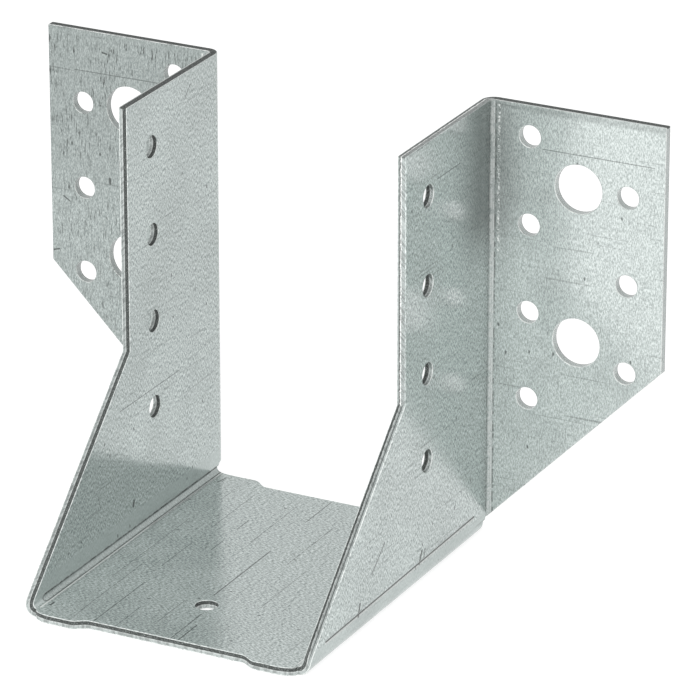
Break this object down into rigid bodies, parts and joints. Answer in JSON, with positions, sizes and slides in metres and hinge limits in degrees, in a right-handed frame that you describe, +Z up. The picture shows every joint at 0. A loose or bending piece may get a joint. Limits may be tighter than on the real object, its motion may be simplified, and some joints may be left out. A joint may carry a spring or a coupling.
{
  "type": "joist hanger",
  "caption": "Face-fixed joist hanger folded from galvanised sheet: a U-shaped joist pocket on a deep seat, with sloped side plates and outward header flanges pierced for nails and bolts.",
  "frame": {"origin": "middle of the floor space that the hanger covers, at the underside of the seat: half way between the flanges' outer edges and half way between the header face and the seat's front corners", "axes": "+X across the joist, +Y back towards the header, out of the header face of the flanges, +Z up the side plates from the seat"},
  "size_m": [0.149, 0.088, 0.1],
  "materials": {
    "galvanised_steel": "hot-dip galvanised sheet, dull satin with fine vertical rolling grain and light scuffs"
  },
  "bodies": {
    "root": {"hanger": "galvanised_steel"}
  },
  "joints": []
}
